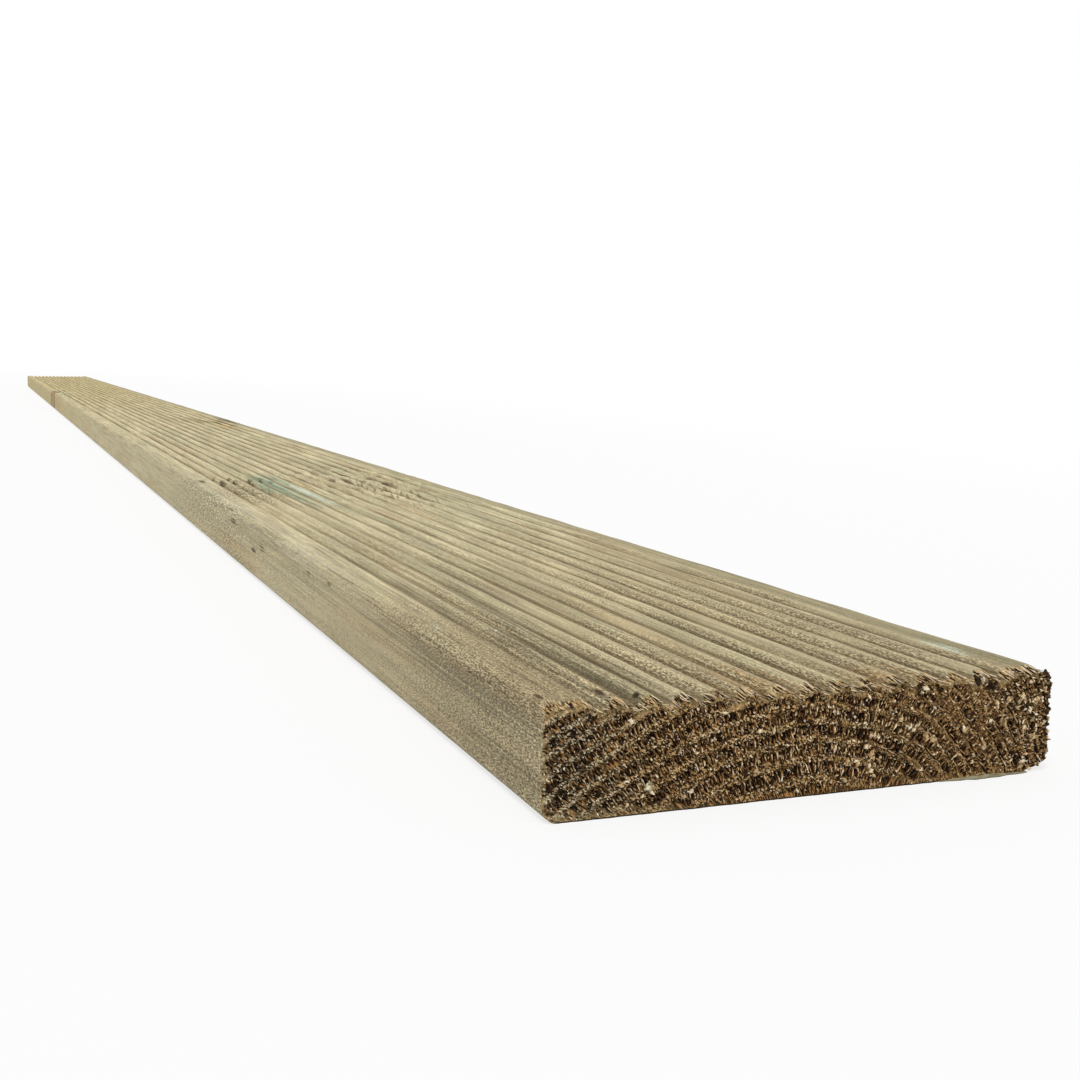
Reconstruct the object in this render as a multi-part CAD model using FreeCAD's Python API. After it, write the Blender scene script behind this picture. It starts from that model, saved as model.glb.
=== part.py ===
"""Reeded softwood decking board: one machined length of timber, lying with its reeded face up.

Millimetres. X runs across the board, Y along it and Z up, from the middle of the underside.
"""

import FreeCAD
import Part

import math
import os

# Driving dimensions
BOARD_LENGTH = 3600.0
BOARD_WIDTH = 144.0
BOARD_THICKNESS = 28.0
ARRIS_RADIUS = 4.0  # round on each of the four long edges
EDGE_LAND = 11.1  # plain strip between each side and the reeds
REED_PITCH = 8.7  # crest to crest, before it is evened out to a whole number of grooves
GROOVE_DEPTH = 2.5  # crest to groove bottom

# The wave of the upper face: whole grooves between the two lands
half_width = BOARD_WIDTH / 2
wave_start = EDGE_LAND - half_width
wave_end = half_width - EDGE_LAND
groove_count = max(1, round((wave_end - wave_start) / REED_PITCH))
groove_pitch = (wave_end - wave_start) / groove_count

# Crest and groove are tangent arcs of one radius that meet halfway down the flank
quarter_pitch = groove_pitch / 4
flank_angle = 2 * math.atan2(GROOVE_DEPTH, 2 * quarter_pitch)
reed_radius = quarter_pitch / math.sin(flank_angle)


def section_point(x, z):
    """A point of the cross-section, in the plane of the front end."""
    return FreeCAD.Vector(x, -BOARD_LENGTH / 2, z)


def wave_point(x):
    """The point of the reeded face at x, on the crest or groove arc that is nearest."""
    along_pitch = (x - wave_start) % groove_pitch
    from_crest = min(along_pitch, groove_pitch - along_pitch)
    if from_crest <= quarter_pitch:
        fall = reed_radius - math.sqrt(reed_radius**2 - from_crest**2)
        return section_point(x, BOARD_THICKNESS - fall)
    from_groove = 2 * quarter_pitch - from_crest
    rise = reed_radius - math.sqrt(reed_radius**2 - from_groove**2)
    return section_point(x, BOARD_THICKNESS - GROOVE_DEPTH + rise)


def reed_arcs():
    """The crest and groove arcs in order across the board, with half a crest at each land."""
    flanks = [wave_start + (2 * k + 1) * quarter_pitch for k in range(2 * groove_count)]
    ends = [wave_start, *flanks, wave_end]
    return [
        Part.Arc(wave_point(a), wave_point((a + b) / 2), wave_point(b)).toShape()
        for a, b in zip(ends, ends[1:])
    ]


def straight_run(*points):
    """Straight edges from each point of the section to the next."""
    return [Part.LineSegment(a, b).toShape() for a, b in zip(points, points[1:])]


def cross_section():
    """The moulded section with square corners: the reeded face, two sides and the flat underside."""
    left_land = straight_run(
        section_point(-half_width, BOARD_THICKNESS),
        section_point(wave_start, BOARD_THICKNESS),
    )
    right_land_side_and_underside = straight_run(
        section_point(wave_end, BOARD_THICKNESS),
        section_point(half_width, BOARD_THICKNESS),
        section_point(half_width, 0),
        section_point(-half_width, 0),
        section_point(-half_width, BOARD_THICKNESS),
    )
    return Part.Face(Part.Wire(left_land + reed_arcs() + right_land_side_and_underside))


def ease_arrises(blank):
    """Rounds the four long edges of the moulded blank."""
    arrises = [
        edge
        for edge in blank.Edges
        if math.isclose(edge.BoundBox.YLength, BOARD_LENGTH, rel_tol=1e-6)
        and math.isclose(abs(edge.CenterOfMass.x), half_width, rel_tol=1e-6)
    ]
    return blank.makeFillet(ARRIS_RADIUS, arrises)


def deck_board():
    """The whole board: its section run out to length, with the long edges eased."""
    blank = cross_section().extrude(FreeCAD.Vector(0, BOARD_LENGTH, 0))
    return ease_arrises(blank)


board = deck_board()
assert board.isValid() and len(board.Solids) == 1

os.makedirs("parts", exist_ok=True)
board.exportStep("parts/deck_board.step")
print(f"deck_board: {groove_count} grooves at {groove_pitch:.2f} mm, {board.Volume / 1e6:.3f} litres")
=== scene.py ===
from collections import namedtuple
import math
import random

import bmesh
import bpy
import numpy as np
from mathutils import Matrix, Vector, noise


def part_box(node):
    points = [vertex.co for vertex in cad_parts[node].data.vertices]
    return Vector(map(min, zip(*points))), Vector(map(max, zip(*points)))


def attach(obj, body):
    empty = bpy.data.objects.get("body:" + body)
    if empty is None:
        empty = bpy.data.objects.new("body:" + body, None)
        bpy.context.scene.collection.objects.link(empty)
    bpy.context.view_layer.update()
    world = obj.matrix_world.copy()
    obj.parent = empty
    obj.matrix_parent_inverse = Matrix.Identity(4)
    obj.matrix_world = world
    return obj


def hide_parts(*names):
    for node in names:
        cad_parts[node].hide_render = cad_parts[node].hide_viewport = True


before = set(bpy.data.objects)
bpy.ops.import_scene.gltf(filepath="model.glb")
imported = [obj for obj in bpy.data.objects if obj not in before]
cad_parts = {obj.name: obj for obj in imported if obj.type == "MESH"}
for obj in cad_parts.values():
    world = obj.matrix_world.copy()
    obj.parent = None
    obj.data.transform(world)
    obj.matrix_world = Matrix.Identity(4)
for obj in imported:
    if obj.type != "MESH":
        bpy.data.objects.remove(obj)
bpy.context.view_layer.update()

# Sizes of the board, in metres
MM = 0.001
LOW, HIGH = (Vector(corner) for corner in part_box("deck_board"))
HALF_WIDTH = HIGH.x
THICKNESS = HIGH.z
LENGTH = HIGH.y - LOW.y
ARRIS = 4.0 * MM
LAND = 11.1 * MM
GROOVES = 14
PITCH = 2 * (HALF_WIDTH - LAND) / GROOVES
GROOVE_DEPTH = 2.5 * MM
REED_RADIUS = PITCH / 4 / math.sin(2 * math.atan2(GROOVE_DEPTH, PITCH / 2))

# Growth rings stand round a pith that ran below the board, flatter to its left and steeper to its right
PITH = Vector((6.0, 0.0, -36.0)) * MM
LEFT_DRAW, RIGHT_DRAW = 0.66, 1.2
# Rings narrow outward: out to a reach, in millimetres, there are RING_RATE * reach ** RING_POWER
RING_RATE, RING_POWER = 0.00386, 1.87
FIRST_RING, LAST_RING = 3, 22
# Share of each ring that is soft early wood, which the saw tears open
EARLY_SHARE = 0.58
# The rings waver: how far in or out, in millimetres, and over what arc round the pith
RING_WAVES = ((0.8, 11.0), (0.35, 3.9))
# Arcs round the pith are measured on a circle of this radius, in millimetres
ARC_RADIUS = 70.0
# How deep the saw tears the softest wood, and how far in from an end it breaks the rim, in millimetres
TEAR_DEPTH, RIM_REACH = 1.5, 9.0
# How far wear moves the surface, in millimetres: crests up, reeds sideways, and sideways by the first knot
CREST_WAVER, REED_SWAY, KNOT_SWAY = 0.32, 0.4, 3.8
# The same for both sides, for the right side by the front end, and for its lower corner, in and up
SIDE_WAVER, SIDE_FRAY, CORNER_IN, CORNER_UP = 0.10, 1.1, 2.6, 1.8

# The board's own measure, in millimetres: across from the left, along from the front end, up from below
TO_BOARD = Vector((-LOW.x, -LOW.y, 0.0)) / MM
WIDTH_MM = 2 * HALF_WIDTH / MM

# Knots, in that measure: where each stands, how far round it the rings bend, and by how much
KNOTS = (
    ((64.0, 545.0, 20.0), (85.0, 140.0, 40.0), 9.0),
    ((126.0, 1300.0, 20.0), (45.0, 170.0, 40.0), 10.0),
    ((6.0, 2300.0, 20.0), (40.0, 150.0, 40.0), 8.0),
)

# By the first knot, where the planer tore the reeds down and where they wander: centre and reach
TORN_REEDS = (104, 575), (44, 150)
WANDERING_REEDS = (96, 560), (52, 190)
# Wedges that the planer broke out there: across, along, half width, half length and depth
WEDGES = (
    (6.4, 576, 3, 18, 1.1),
    (17, 570, 3.6, 20, 1.6),
    (16.6, 602, 2.8, 14, 1),
    (25.4, 549, 2.6, 11, 1),
    (25.8, 575, 3.6, 19, 1.7),
    (25.4, 602, 2.8, 13, 1),
    (34.6, 577, 3.4, 18, 1.6),
    (42.8, 590, 2.8, 14, 1),
    (7.6, 489, 1.8, 8, 0.9),
    (15.4, 521, 2.2, 10, 1),
    (23.8, 508, 2.2, 10, 1),
    (24.6, 534, 2, 8, 0.9),
    (32.6, 508, 2.2, 9, 1),
    (33, 533, 2, 8, 0.9),
    (41.6, 505, 2, 8, 0.9),
    (78.5, 562, 1.8, 18, 0.6),
    (78.5, 605, 1.8, 20, 0.5),
    (87.2, 585, 2, 20, 0.6),
    (95.9, 580, 2, 20, 0.7),
    (95.9, 625, 1.8, 22, 0.6),
    (104.6, 570, 2.2, 20, 0.8),
    (104.6, 610, 2, 24, 0.7),
    (113.3, 552, 2.2, 16, 0.8),
    (113.3, 588, 2.2, 20, 0.8),
    (122, 564, 2.2, 18, 0.8),
    (122, 600, 2.2, 20, 0.8),
    (122, 660, 2, 28, 0.7),
    (113.3, 660, 1.8, 24, 0.6),
)
# How far the wedges to the right slant across for each millimetre along
WEDGE_SLANT = 0.08

# The sawn ends: name, place, way out, random seed, space between rips in millimetres, number of flakes
End = namedtuple("End", "name y outward seed spacing flakes")
FRONT = End("front", LOW.y, -1.0, 11, 0.58, 10000)
BACK = End("back", HIGH.y, 1.0, 47, 0.80, 5000)


def clamp01(value):
    return min(1.0, max(0.0, value))


def ease(low, high, value):
    """0 below low, 1 above high and a smooth climb between."""
    t = clamp01((value - low) / (high - low))
    return t * t * (3 - 2 * t)


def grain_noise(x, y, z):
    return noise.noise(Vector((x, y, z)))


def reed_drop(x):
    """How far the reeded face lies below its crests at x."""
    along = x + HALF_WIDTH - LAND
    if not 0 < along < GROOVES * PITCH:
        return 0.0
    along %= PITCH
    from_crest = min(along, PITCH - along)
    if from_crest <= PITCH / 4:
        return REED_RADIUS - math.sqrt(REED_RADIUS**2 - from_crest**2)
    from_groove = PITCH / 2 - from_crest
    return GROOVE_DEPTH - REED_RADIUS + math.sqrt(REED_RADIUS**2 - from_groove**2)


def top_height(x):
    """Height of the upper face at x, with its rounded long edges."""
    past_arris = abs(x) - (HALF_WIDTH - ARRIS)
    if past_arris > 0:
        return THICKNESS - ARRIS + math.sqrt(max(0.0, ARRIS**2 - past_arris**2))
    return THICKNESS - reed_drop(x)


def ring_waver(arc):
    """How far the rings lie out from true circles at an arc from the plumb line, in millimetres."""
    return sum(reach * math.sin(arc / span) for reach, span in RING_WAVES)


def ring_draw(side):
    """How much the rings are squeezed across the board on a side of the pith, left if negative."""
    return LEFT_DRAW if side < 0 else RIGHT_DRAW


def ring_count(reach):
    return RING_RATE * reach**RING_POWER


def ring_reach(count):
    return (count / RING_RATE) ** (1 / RING_POWER)


def from_pith(x, z):
    """Distance from the pith and arc from the plumb line, in millimetres, with the rings drawn round."""
    dx, dz = (x - PITH.x) / MM, (z - PITH.z) / MM
    dx *= ring_draw(dx)
    arc = math.atan2(dx, dz) * ARC_RADIUS
    return math.hypot(dx, dz) + ring_waver(arc), arc


# The board
COLUMNS, RISES, ROWS = 152, 20, 306
# Columns or rises over each rounded edge, and as many columns over the rest of each land
EDGE_STEPS = 3
COLUMN_STOPS = (0, EDGE_STEPS, 2 * EDGE_STEPS, COLUMNS - 2 * EDGE_STEPS, COLUMNS - EDGE_STEPS, COLUMNS)
COLUMN_PLACES = (-HALF_WIDTH, ARRIS - HALF_WIDTH, LAND - HALF_WIDTH,
                 HALF_WIDTH - LAND, HALF_WIDTH - ARRIS, HALF_WIDTH)
RISE_STOPS = (0, EDGE_STEPS, RISES - EDGE_STEPS, RISES)
RISE_PLACES = (0.0, ARRIS, THICKNESS - ARRIS, THICKNESS)
# Rows lie closest at the two ends and round the first knot, which also get the larger share of the map
ROW_STOPS = (0, 10, 50, 100, 220, 300, ROWS)
ROW_PLACES = (0.0, 0.006, 0.070, 0.400, 0.680, LENGTH - 0.006, LENGTH)
ROW_SHARES = (0.0, 0.02, 0.14, 0.30, 0.52, 0.99, 1.0)
# A point within this of a face of the unit block, or of an end, lies on it
ON_FACE = 1e-6


def cut_across(bm, axis, cuts):
    """Divides every edge that runs along an axis."""
    edges = [e for e in bm.edges if abs((e.verts[1].co - e.verts[0].co)[axis]) > ON_FACE]
    bmesh.ops.subdivide_edges(bm, edges=edges, cuts=cuts, use_grid_fill=True)


def ruled_block():
    """A unit block ruled into columns, rises and rows, finer on its front end and plain underneath."""
    bm = bmesh.new()
    bmesh.ops.create_cube(bm, size=1.0, matrix=Matrix.Translation((0.5, 0.5, 0.5)))
    cut_across(bm, 0, COLUMNS - 1)
    cut_across(bm, 2, RISES - 1)
    cut_across(bm, 1, ROWS - 1)
    edge_share = EDGE_STEPS / COLUMNS
    underside = [
        f for f in bm.faces
        if max(v.co.z for v in f.verts) < ON_FACE and edge_share < f.calc_center_median().x < 1 - edge_share
    ]
    bmesh.ops.delete(bm, geom=underside, context="FACES")
    bmesh.ops.holes_fill(bm, edges=[e for e in bm.edges if e.is_boundary], sides=0)
    front = [f for f in bm.faces if max(v.co.y for v in f.verts) < ON_FACE]
    front_edges = list({e for f in front for e in f.edges})
    bmesh.ops.subdivide_edges(bm, edges=front_edges, cuts=1, use_grid_fill=True)
    return bm


# Where each side of the board lies on its map: the lowest and highest v
MAP_BANDS = {"front": (0.855, 0.995), "back": (0.795, 0.85), "top": (0.35, 0.79), "left": (0.24, 0.345),
             "right": (0.13, 0.235), "under": (0.005, 0.125)}
# Bare margins: at each end of the board's map, and round the chart of tones that loose fibre uses as its map
MAP_MARGIN, CHART_MARGIN = 0.004, 0.04


def side_of(face):
    """Which side of the ruled block a face lies on."""
    lows = [min(v.co[axis] for v in face.verts) for axis in range(3)]
    highs = [max(v.co[axis] for v in face.verts) for axis in range(3)]
    if highs[1] < ON_FACE:
        return "front"
    if lows[1] > 1 - ON_FACE:
        return "back"
    if lows[2] > 1 - ON_FACE:
        return "top"
    if highs[0] < ON_FACE:
        return "left"
    if lows[0] > 1 - ON_FACE:
        return "right"
    return "under"


def lay_map(bm):
    """Lays each side out flat in its own band of the map, and gives the two ends the sawn finish."""
    layer = bm.loops.layers.uv.new("OFBake")
    for face in bm.faces:
        side = side_of(face)
        low, high = MAP_BANDS[side]
        face.smooth = side != "under"
        face.material_index = int(side in ("front", "back"))
        for loop in face.loops:
            x, y, z = loop.vert.co
            across = x if side in ("top", "under") else z
            along = x if side in ("front", "back") else float(np.interp(y * ROWS, ROW_STOPS, ROW_SHARES))
            loop[layer].uv = (MAP_MARGIN + (1 - 2 * MAP_MARGIN) * along, low + (high - low) * across)


def section_place(co):
    """Moves a point of the unit block to its place on the real, unworn board."""
    x = float(np.interp(co.x * COLUMNS, COLUMN_STOPS, COLUMN_PLACES))
    y = LOW.y + float(np.interp(co.y * ROWS, ROW_STOPS, ROW_PLACES))
    z = float(np.interp(co.z * RISES, RISE_STOPS, RISE_PLACES))
    past_side = abs(x) - (HALF_WIDTH - ARRIS)
    past_face = abs(z - THICKNESS / 2) - (THICKNESS / 2 - ARRIS)
    if past_side > 0 and past_face > 0:
        pull = 1 - max(past_side, past_face) / math.hypot(past_side, past_face)
        x -= math.copysign(past_side * pull, x)
        z -= math.copysign(past_face * pull, z - THICKNESS / 2)
    z -= reed_drop(x) * (z / THICKNESS) ** 2
    return Vector((x, y, z))


def end_tear(x, z, seed):
    """How deep the saw tore an end at a point, from 0 to 1: the soft early wood of a ring tears most."""
    r, arc = from_pith(x, z)
    ring = ring_count(r) % 1.0
    late = ease(EARLY_SHARE - 0.04, EARLY_SHARE + 0.08, ring) * (1 - ease(0.94, 1.0, ring))
    rip = grain_noise(arc * 1.25, r * 0.55, seed)
    pit = grain_noise(arc * 0.22, r * 0.26, seed + 9.5)
    calm = ease(22, 40, x / MM) * (1 - ease(52, 62, x / MM))
    return clamp01(0.60 - 0.42 * late + (0.36 - 0.22 * calm) * rip + 0.26 * pit)


def rim_drop(x, along, seed):
    """How far the saw broke the upper face down near an end, in millimetres. Crests lose most."""
    if along > RIM_REACH * MM:
        return 0.0
    crest = 1 - reed_drop(x) / GROOVE_DEPTH
    eased = 0.9 * (0.25 + 0.75 * crest) * (1 - ease(0.3, 6.0, along / MM))
    reach = 4.0 + 3.6 * grain_noise(x / MM / 2.3, 1.7, seed)
    ragged = clamp01(0.45 + 0.9 * grain_noise(x / MM / 0.8, along / MM / 2.6, seed + 3.3))
    return eased + 0.7 * ragged * (1 - ease(0.2, 1.0, along / MM / max(reach, 0.8)))


def broken_wedge(across, along):
    """Depth of a broken wedge at a point of the top, in millimetres, and how much painted shade its steep
    far side gets.
    """
    deepest, darkest = 0.0, 0.0
    for x, y, half_width, half_length, depth in WEDGES:
        slant = WEDGE_SLANT * (along - y) if x > WIDTH_MM / 2 else 0.0
        side, fore = (across - x + slant) / half_width, (along - y) / half_length
        fore += 0.8 * grain_noise(across / 1.3, along / 9, 31.0) - 0.35 * side
        if abs(side) < 1 and abs(fore) < 1:
            body = 1 - side**2
            deepest = max(deepest, depth * body * ease(-1.0, 0.5, fore) * (1 - ease(0.7, 1.0, fore)))
            darkness = min(0.9, 0.75 * depth)
            darkest = max(darkest, darkness * body * ease(-0.2, 0.4, fore) * (1 - ease(0.7, 1.0, fore)))
    return deepest, darkest


def off_spot(across, along, spot):
    """How far a point of the top lies from a spot's centre, as a share of the spot's reach."""
    centre, reach = spot
    return math.hypot((across - centre[0]) / reach[0], (along - centre[1]) / reach[1])


def knot_tear(across, along):
    """How far the planer tore the reeds down round the first knot, and how much painted shade the step at
    the end of each tear gets.
    """
    off = off_spot(across, along, TORN_REEDS)
    if off > 1.0:
        return 0.0, 0.0
    # Each tear deepens slowly away from the front end and stops in a step
    run = (along + 2.6 * across + 44 * grain_noise(across / 11, along / 46, 6.0)) / 40 % 1.0
    share = clamp01(0.60 + 1.5 * grain_noise(across / 10, along / 36, 9.0)) * (1 - ease(0.55, 1.0, off))
    return 1.2 * share * run**1.5, share * ease(0.70, 0.88, run)


def wear_top(place, broken):
    """Moves a point of the top as the planer and saw left it, and gives the painted shade of the pit it lies
    in.
    """
    x, y = place.x, place.y
    across, along = (x - LOW.x) / MM, (y - LOW.y) / MM
    hole, hole_shade = broken_wedge(across, along)
    tear, tear_shade = knot_tear(across, along)
    within_reeds = ease(0, 6, (HALF_WIDTH - LAND - abs(x)) / MM)
    by_knot = 1 - ease(0.5, 1.0, off_spot(across, along, WANDERING_REEDS))
    place.x += REED_SWAY * MM * within_reeds * grain_noise(x / MM / 11, y / MM / 80, 21.0)
    place.x += KNOT_SWAY * MM * within_reeds * by_knot * grain_noise(x / MM / 18, y / MM / 36, 25.0)
    crest_waver = CREST_WAVER * grain_noise(x / MM / 2.0, y / MM / 30, 15.0)
    place.z += (crest_waver - max(hole, tear) - broken) * MM
    place.z = min(place.z, THICKNESS)
    return clamp01(max(hole_shade, 0.25 * tear_shade))


def wear_sides(place, unworn, unit):
    """Makes the sides waver, frays the right one by the front end and wears its lower corner there."""
    x, y, z = unworn
    from_front = (y - LOW.y) / MM
    if min(unit.x, 1 - unit.x) < ON_FACE:
        place.x += SIDE_WAVER * MM * grain_noise(z / MM / 2.2, y / MM / 46, 8.0)
    if unit.x > 1 - ON_FACE and from_front < RIM_REACH:
        ragged = 1 - ease(0, RIM_REACH, from_front)
        place.x += ragged * SIDE_FRAY * MM * grain_noise(z / MM / 1.6, y / MM / 2.5, 4.0)
    worn_corner = ease(60, 72, x / MM) * (1 - ease(0, 7, z / MM)) * (1 - ease(0, 16, from_front))
    worn_corner *= 0.7 + 0.6 * grain_noise(y / MM / 3, z / MM / 2, 2.0)
    place.x -= CORNER_IN * MM * worn_corner
    place.z += CORNER_UP * MM * worn_corner


def wear(bm):
    """Tears the sawn ends, breaks their rims and the reeds by the knot, and makes the faces waver."""
    torn = bm.verts.layers.float.new("torn")
    rim = bm.verts.layers.float.new("rim")
    # The pit layer holds painted shade for the steep walls of the broken wedges and tears.
    pit = bm.verts.layers.float.new("pit")
    for v in bm.verts:
        unit = v.co.copy()
        unworn = section_place(unit)
        x, y, z = unworn
        place = unworn.copy()
        near_end = min(y - LOW.y, HIGH.y - y)
        end = FRONT if y - LOW.y < HIGH.y - y else BACK
        on_top = unit.z > 1 - ON_FACE
        broken = rim_drop(x, near_end, end.seed)
        if on_top:
            v[torn] = clamp01(broken / 1.2)
            v[pit] = wear_top(place, broken)
        if near_end < ON_FACE:
            depth = end_tear(x, z, end.seed)
            below_top = top_height(x) - z
            v[torn] = depth
            v[rim] = max(clamp01(1 - below_top / (2.2 * MM)), 0.8 * clamp01(1 - (x - LOW.x) / (2.5 * MM)))
            kept_edge = 0.2 + 0.8 * ease(0.3, 2.5, z / MM)
            place.y -= end.outward * (TEAR_DEPTH * depth * kept_edge - 0.25) * MM
            if not on_top:
                place.z -= broken * MM * clamp01(1 - below_top / (6 * MM))
        wear_sides(place, unworn, unit)
        v.co = place


def mesh_from(bm, name):
    mesh = bpy.data.meshes.new(name)
    bm.to_mesh(mesh)
    bm.free()
    return mesh


def finish_piece(name, mesh, *finishes):
    """Makes a mesh a piece of the board, in its finishes."""
    for finish in finishes:
        mesh.materials.append(finish)
    piece = bpy.data.objects.new(name, mesh)
    bpy.context.scene.collection.objects.link(piece)
    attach(piece, "root")
    return piece


def make_board(face_finish, end_finish):
    bm = ruled_block()
    lay_map(bm)
    wear(bm)
    bmesh.ops.recalc_face_normals(bm, faces=bm.faces[:])
    for e in bm.edges:
        e.smooth = e.calc_face_angle(0.0) < math.radians(50)
    board = finish_piece("softwood_board", mesh_from(bm, "softwood_board"), face_finish, end_finish)
    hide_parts("deck_board")


# Torn fibres, flakes and slivers
# A sliver is a three-sided blade and a flake a four-sided chip: sides, and reach at the root and at the tip
SLIVER = 3, 0.55, 0.22
FLAKE = 4, 0.5, 0.34
# No loose fibre hangs lower than this, in millimetres
LOWEST_FIBRE = 0.05


def tapered_shape(sides, root, tip):
    """A sliver or flake one unit long, about one wide and thick, pointing up from its root."""
    bm = bmesh.new()
    bmesh.ops.create_cone(
        bm, cap_ends=True, segments=sides, radius1=root, radius2=tip, depth=1.0,
        matrix=Matrix.Translation((0, 0, 0.5)),
    )
    return bm


def wall_shape():
    """One torn wall of wood: an upright plate one unit long, wide and thick, thinner to its upper edge."""
    bm = bmesh.new()
    bmesh.ops.create_cube(bm, size=1.0, matrix=Matrix.Translation((0, 0, 0.5)))
    cut_across(bm, 0, 2)
    cut_across(bm, 2, 1)
    for v in bm.verts:
        if 0.4 < v.co.z < 0.6:
            v.co.z = 0.74
        v.co.y *= 1 - 0.45 * v.co.z
        v.co.z *= 1 - 0.9 * v.co.x**2
    return bm


class Litter:
    """Copies of a small shape, each with a place, a tone from dark to pale and a tint from brown to grey."""

    def __init__(self, shape, tip_tone, fray=0.0, tip_power=1):
        self.shape = shape
        self.tip_tone = tip_tone
        self.tip_power = tip_power
        self.fray = fray
        self.places, self.tones, self.tints = [], [], []

    def add(self, place, tone, tint):
        self.places.append(place)
        self.tones.append(tone)
        self.tints.append(tint)

    def join(self, name, finish):
        """Makes the copies one piece. Its map is a chart of tone against tint, which like copies share."""
        corners = np.array([(*v.co, 1.0) for v in self.shape.verts])
        loops = [[v.index for v in f.verts] for f in self.shape.faces]
        self.shape.free()
        moved = np.einsum("nij,vj->nvi", np.array(self.places), corners)[:, :, :3]
        frayed = np.random.default_rng(len(self.places)).normal(0, 1, moved.shape)
        moved += self.fray * frayed * corners[None, :, 2:3]
        moved[:, :, 2] = np.maximum(moved[:, :, 2], LOWEST_FIBRE * MM)
        count = len(corners)
        faces = [[k * count + i for i in face] for k in range(len(self.places)) for face in loops]
        mesh = bpy.data.meshes.new(name)
        mesh.from_pydata(moved.reshape(-1, 3).tolist(), [], faces)
        # Each copy grows paler toward its tip: painted shade darkens its root down in the torn wood.
        paler = self.tip_tone * corners[None, :, 2] ** self.tip_power
        tones = np.clip(np.array(self.tones)[:, None] + paler, 0, 1).ravel()
        tints = np.clip(np.repeat(self.tints, count), 0, 1)
        mesh.attributes.new("tone", "FLOAT", "POINT").data.foreach_set("value", tones.astype(np.float32))
        mesh.attributes.new("tint", "FLOAT", "POINT").data.foreach_set("value", tints.astype(np.float32))
        spread = 0.012 * np.tile(corners[:, 0] + corners[:, 1], len(self.places))
        wide = 1 - 2 * CHART_MARGIN
        chart = CHART_MARGIN + np.stack([wide * tones + spread, wide * tints + spread[::-1]], -1)
        corner_verts = np.empty(len(mesh.loops), np.int32)
        mesh.loops.foreach_get("vertex_index", corner_verts)
        layer = mesh.uv_layers.new(name="OFBake")
        layer.uv.foreach_set("vector", chart[corner_verts].ravel().astype(np.float32))
        finish_piece(name, mesh, finish)


def blade_place(root, tip_way, wide_way, length, width, thick):
    """The matrix that sets a unit fibre on its root, its length along tip_way, its width near wide_way."""
    up = tip_way.normalized()
    thin = up.cross(wide_way).normalized()
    wide = thin.cross(up)
    grown = Matrix((wide * width, thin * thick, up * length)).transposed().to_4x4()
    return Matrix.Translation(root) @ grown


def inside_section(x, z, inset, top):
    """Whether a point of the end lies within the board's outline, under the top's broken rim."""
    corner_x, corner_z = abs(x) - (HALF_WIDTH - ARRIS), abs(z - THICKNESS / 2) - (THICKNESS / 2 - ARRIS)
    if corner_x > 0 and corner_z > 0 and math.hypot(corner_x, corner_z) > ARRIS - inset:
        return False
    return abs(x) < HALF_WIDTH - inset and inset < z < top - inset


def sawn_top(x, seed):
    """Height of an end's upper rim at x, as the saw left it."""
    return top_height(x) - rim_drop(x, 0.0, seed) * MM


def round_pith(angle, reach):
    """The point of the end at an angle round the pith and a reach from it, in millimetres."""
    return PITH.x + reach * math.sin(angle) / ring_draw(angle) * MM, PITH.z + reach * math.cos(angle) * MM


# Rips reach this far round the pith to either side, in radians, and ridges start this far to its right
RIP_SPAN, RIDGE_START = 1.2, 0.32
# How far out through its ring a ridge stands, and how far it is from the next, in millimetres
RIDGE_SHARE, RIDGE_SPACING = 0.92, 2.0


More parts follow.
